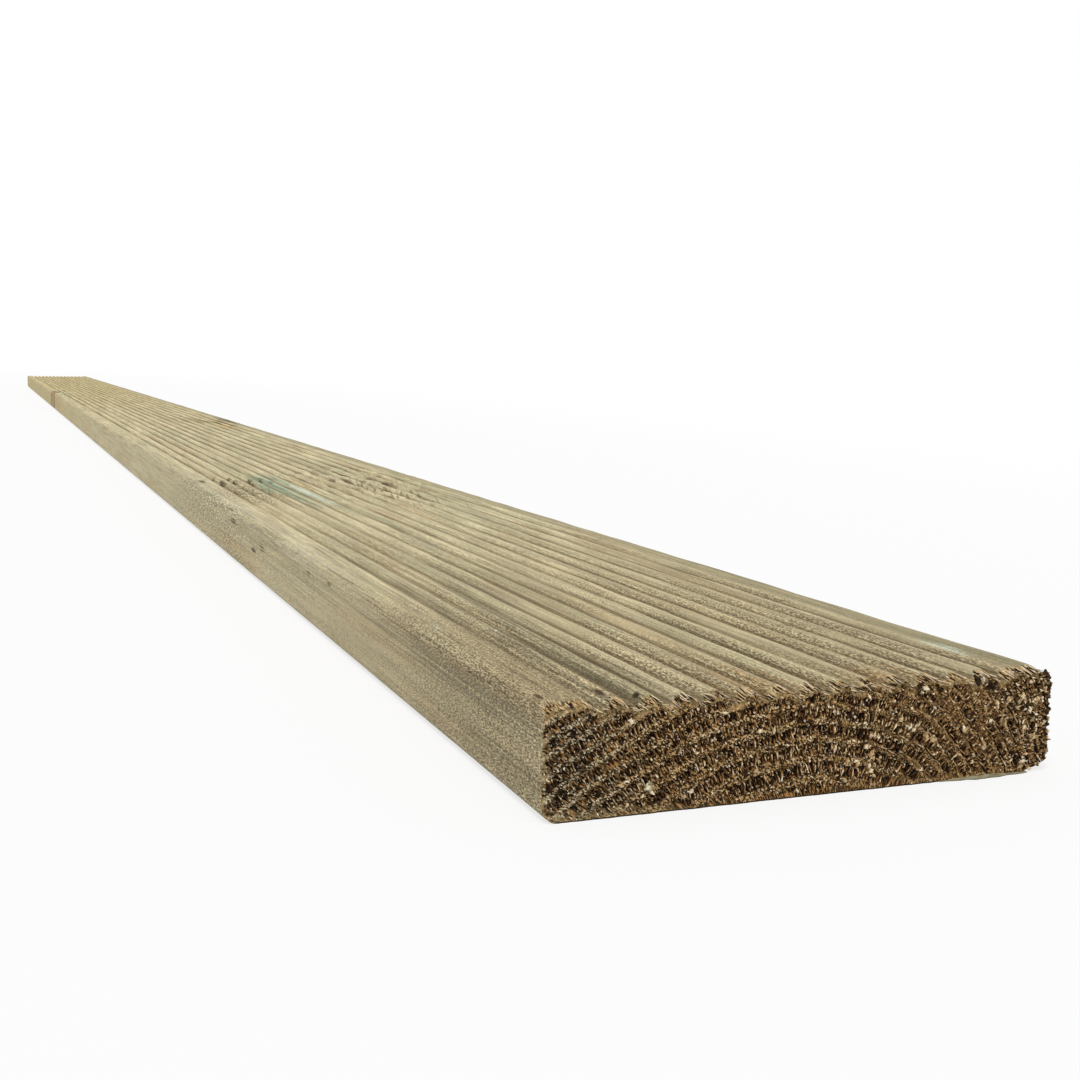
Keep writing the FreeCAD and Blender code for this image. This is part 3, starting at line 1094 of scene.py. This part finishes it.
def broken_wood(f, colour):
    """A colour with the broken wood laid over it: fissures by the first knot as lines of painted shade
    beside paler torn fibre, splintered rims with dark slits of painted shade, and painted shade on the steep
    walls of the wedges and tears.
    """
    slanted = f.climb(f.along, -0.18, f.across)
    slanted = f.node("ShaderNodeCombineXYZ", slanted, f.along, f.up).outputs[0]
    fissures = f.noise((1.5, 26, 3), 1.0, shift=81.0, place=slanted)
    by_knot = f.patch(*FISSURES, f.mottle)
    # By the first knot, dark fissure lines are painted shade of the tears, beside paler torn fibre.
    colour = f.coat(colour, (112, 90, 54), f.fade(fissures, 0.54, 0.64), by_knot, 0.6)
    colour = f.coat(colour, (224, 213, 178), f.fade(fissures, 0.42, 0.34), by_knot, 0.4)
    slits = f.noise((0.34, 5.0, 0.34), 1.0, shift=30.0)
    splinter = f.ramp(slits, (0.40, rgb(40, 24, 12)), (0.50, rgb(166, 132, 84)), (0.62, rgb(218, 194, 146)))
    # Torn rims: pale splinters with dark slits of painted shade between them.
    colour = f.mix(f.product(f.fade(f.attribute("torn"), 0.05, 0.42), f.upper), colour, splinter)
    # Painted shade on the steep walls of the broken wedges and tears.
    return f.coat(colour, (74, 54, 32), f.fade(f.attribute("pit"), 0.05, 0.85), 0.9)


def planed_face():
    """The long faces: stained softwood, darker in its grooves with dirt and painted shade, with painted
    light and shade on its flanks, side and edges, rough in places and broken by the knot.
    """
    f = PlanedFinish()
    fibres = f.fade(f.noise((0.45, 40, 0.45), 1.0, 0.5, shift=9.0), 0.38, 0.62)
    speckle = fine_specks(f)
    hollow, crisp = groove_lines(f)
    rough = rough_places(f)
    grit = f.climb(rough, 0.22, f.climb(f.on_side, 0.06, 0.08))
    chaff = f.product(rough, f.math("SUBTRACT", 1.0, speckle))
    colour = f.coat(side_knot(f, planed_wood(f)), (118, 93, 60), chaff, 0.55)
    # The grain's own tone, times painted light and shade by place.
    shade = f.product(grain_shade(f, fibres), f.swing(speckle, grit), painted_light_by_place(f, hollow, crisp))
    # The grooves coated brown: partly dirt in them, partly painted shade.
    colour = f.coat(f.shaded(colour, shade), (102, 78, 38), hollow, crisp, 0.40)
    height = f.climb(f.product(speckle, grit), 2.0, f.product(fibres, 0.3))
    return f.wear(broken_wood(f, colour), f.climb(f.streaks, 0.3, 0.66), 0.15, height, 0.35 * MM)


def torn_end():
    """The sawn ends: dark ripped early wood, with painted shade in its slits and deepest tears, paler
    late-wood lines, a paler rim and a painted shadow along the foot.
    """
    f = Finish("sawn end grain")
    off = f.node("ShaderNodeSeparateXYZ", pith_offset(f, f.place)).outputs
    arc = f.math("MULTIPLY", f.math("ARCTAN2", off["X"], off["Z"]), ARC_RADIUS)
    distance = f.vector("LENGTH", pith_offset(f, f.place))
    for reach, span in RING_WAVES:
        distance = f.climb(f.math("SINE", f.math("DIVIDE", arc, span)), reach, distance)
    ring = through_ring(f, distance)
    polar = f.node("ShaderNodeCombineXYZ", arc, distance, f.along).outputs[0]
    ticks = f.fade(f.noise((0.42, 2.0, 2.0), 1.0, 0.5, place=polar), 0.38, 0.62)
    grains = f.fade(f.noise((0.42, 0.6, 2.0), 1.0, 0.5, shift=3.0, place=polar), 0.38, 0.62)
    leftward = f.fade(f.across, 34, 6)
    late = f.product(f.fade(ring, EARLY_SHARE - 0.06, EARLY_SHARE + 0.08), f.fade(ring, 1.0, 0.92))
    torn, rim = f.attribute("torn"), f.attribute("rim")
    # The early wood's near-black end is painted shade in the slits between its torn ticks.
    early_wood = f.ramp(ticks, (0.0, rgb(10, 5, 2)), (0.5, rgb(54, 32, 14)), (1.0, rgb(168, 126, 76)))
    late_wood = f.ramp(grains, (0.0, rgb(26, 15, 7)), (0.5, rgb(98, 70, 39)), (1.0, rgb(204, 168, 114)))
    greyed = f.ramp(grains, (0.0, rgb(34, 26, 17)), (0.5, rgb(112, 95, 70)), (1.0, rgb(206, 190, 158)))
    colour = f.mix(late, early_wood, f.mix(f.product(leftward, 0.8), late_wood, greyed))
    # Painted shade where the saw tore deepest.
    colour = f.coat(colour, (34, 20, 10), f.fade(torn, 0.72, 1.0), 0.45)
    line = f.product(f.fade(ring, 0.72, 0.82), f.fade(ring, 1.0, 0.93), f.fade(f.across, 80, 108))
    line = f.product(line, f.climb(ticks, 0.5, 0.5))
    planes = f.product(f.fade(f.across, 92, 114), f.fade(f.across, 134, 124), f.fade(torn, 0.85, 0.55))
    brown = f.ramp(grains, (0.0, rgb(28, 16, 7)), (0.5, rgb(106, 75, 42)), (1.0, rgb(206, 166, 112)))
    colour = f.mix(f.product(planes, 0.6), colour, brown)
    colour = f.coat(colour, (178, 146, 98), line, 0.9)
    skirt = f.product(f.fade(f.up, 3.0, 0.8), f.fade(f.across, 60, 8), grains)
    colour = f.coat(colour, (172, 152, 110), skirt, 0.8)
    frayed = f.fade(f.climb(f.math("SUBTRACT", grains, 0.5), -0.8, rim), 0.30, 0.75)
    colour = f.coat(colour, (172, 147, 102), frayed, 0.8)
    # A painted shadow along the foot of the end.
    colour = f.coat(colour, (44, 33, 20), f.fade(f.up, 0.45, 0.2))
    return f.wear(colour, f.climb(ticks, 0.2, 0.78), 0.1, ticks, 0.4 * MM)


def torn_fibre():
    """Loose fibre: dark at its root as painted shade down in the torn wood, paler to its tip, from orange
    brown to the treatment's grey green.
    """
    f = Finish("torn fibre")
    tone, tint = f.attribute("tone"), f.attribute("tint")
    brown = f.ramp(
        tone, (0.0, rgb(24, 12, 5)), (0.25, rgb(66, 40, 19)), (0.45, rgb(116, 80, 44)),
        (0.65, rgb(176, 136, 86)), (0.85, rgb(222, 190, 140)), (1.0, rgb(244, 226, 192)),
    )
    grey = f.ramp(
        tone, (0.0, rgb(26, 22, 14)), (0.25, rgb(58, 50, 34)), (0.45, rgb(94, 88, 66)),
        (0.65, rgb(140, 140, 116)), (0.85, rgb(192, 192, 168)), (1.0, rgb(228, 230, 214)),
    )
    return f.wear(f.mix(tint, brown, grey), f.climb(tone, -0.15, 0.9), 0.15)


# Stage
FLOOR_REACH = 40.0
FLOOR_TINT = (0.95, 0.95, 0.95, 1.0)
# How far out from the board's middle the floor's shadow shows, in millimetres, and how whitened it is
SHADOW_REACH, SHADOW_WHITENED = (420, 2150, 1000), 0.72
# The room's brightness as light on the board and as seen behind it
ROOM_LIGHT, ROOM_SEEN = 0.5, 1.0
KEY_WAY, KEY_STRENGTH, KEY_SPREAD = (0.30, 0.50, -1.0), 1.7, math.radians(20)
# The photograph's viewpoint, in metres, its turn, tip and lean, in degrees, and its lens, in millimetres
VIEWPOINT = (-0.1903, -2.0987, 0.1083)
VIEW_ANGLES = (-21.33, 7.42, 0.972)
LENS, SENSOR_WIDTH = 47.99, 36.0


def seen_rays(tree):
    """1 for rays that show a surface, straight, reflected or through glass, and 0 for the light it gives."""
    path = tree.nodes.new("ShaderNodeLightPath")
    seen = path.outputs["Is Camera Ray"]
    for kind in ("Is Glossy Ray", "Is Transmission Ray"):
        either = tree.nodes.new("ShaderNodeMath")
        either.operation = "MAXIMUM"
        tree.links.new(seen, either.inputs[0])
        tree.links.new(path.outputs[kind], either.inputs[1])
        seen = either.outputs[0]
    return seen


def make_floor():
    """A pale floor that takes the board's shadow and runs out to white."""
    bm = bmesh.new()
    bmesh.ops.create_grid(bm, x_segments=1, y_segments=1, size=FLOOR_REACH)
    mesh = mesh_from(bm, "floor")
    floor = bpy.data.objects.new("floor", mesh)
    bpy.context.scene.collection.objects.link(floor)
    f = Finish("pale floor")
    f.tree.nodes.remove(f.shader)
    white = f.node("ShaderNodeEmission")
    matt = f.node("ShaderNodeBsdfDiffuse", FLOOR_TINT)
    off = f.vector("SUBTRACT", f.place, tuple(TO_BOARD))
    reach = f.vector("LENGTH", f.vector("DIVIDE", off, SHADOW_REACH))
    whitened = f.climb(f.fade(reach, 0.7, 2.6), 1 - SHADOW_WHITENED, SHADOW_WHITENED)
    share = f.product(whitened, seen_rays(f.tree))
    both = f.node("ShaderNodeMixShader", share, matt.outputs[0], white.outputs[0])
    f.tree.links.new(both.outputs[0], f.tree.nodes["Material Output"].inputs["Surface"])
    mesh.materials.append(f.material)


def light_stage():
    """A room that shows as white and lights the board evenly, with one broad soft light from above."""
    world = bpy.data.worlds.new("white room")
    world.use_nodes = True
    bpy.context.scene.world = world
    tree = world.node_tree
    room = tree.nodes["Background"]
    room.inputs["Color"].default_value = (1.0, 1.0, 1.0, 1.0)
    level = tree.nodes.new("ShaderNodeMapRange")
    level.inputs["To Min"].default_value = ROOM_LIGHT
    level.inputs["To Max"].default_value = ROOM_SEEN
    tree.links.new(seen_rays(tree), level.inputs["Value"])
    tree.links.new(level.outputs[0], room.inputs["Strength"])
    key = bpy.data.lights.new("soft key", "SUN")
    key.energy = KEY_STRENGTH
    key.angle = KEY_SPREAD
    lamp = bpy.data.objects.new("soft key", key)
    lamp.rotation_euler = Vector(KEY_WAY).to_track_quat("-Z", "Y").to_euler()
    bpy.context.scene.collection.objects.link(lamp)


def aim_camera():
    """The photograph's viewpoint: low beside the front end, looking along the board."""
    camera = bpy.data.cameras.new("viewpoint")
    camera.lens = LENS
    camera.sensor_width = SENSOR_WIDTH
    camera.clip_start = 0.01
    eye = bpy.data.objects.new("viewpoint", camera)
    turn, tip, lean = (math.radians(angle) for angle in VIEW_ANGLES)
    aim = Matrix.Rotation(turn, 4, "Z") @ Matrix.Rotation(math.pi / 2 - tip, 4, "X")
    eye.matrix_world = Matrix.Translation(VIEWPOINT) @ aim @ Matrix.Rotation(lean, 4, "Z")
    bpy.context.scene.collection.objects.link(eye)
    bpy.context.scene.camera = eye


def main():
    bpy.context.scene.view_settings.view_transform = "Standard"
    make_board(planed_face(), torn_end())
    fibre = torn_fibre()
    for litter in (sawn_rips, sawn_flakes, rim_slivers):
        for end in (FRONT, BACK):
            litter(end, fibre)
    end_chips(fibre)
    under_splinter(fibre)
    make_floor()
    light_stage()
    aim_camera()


main()
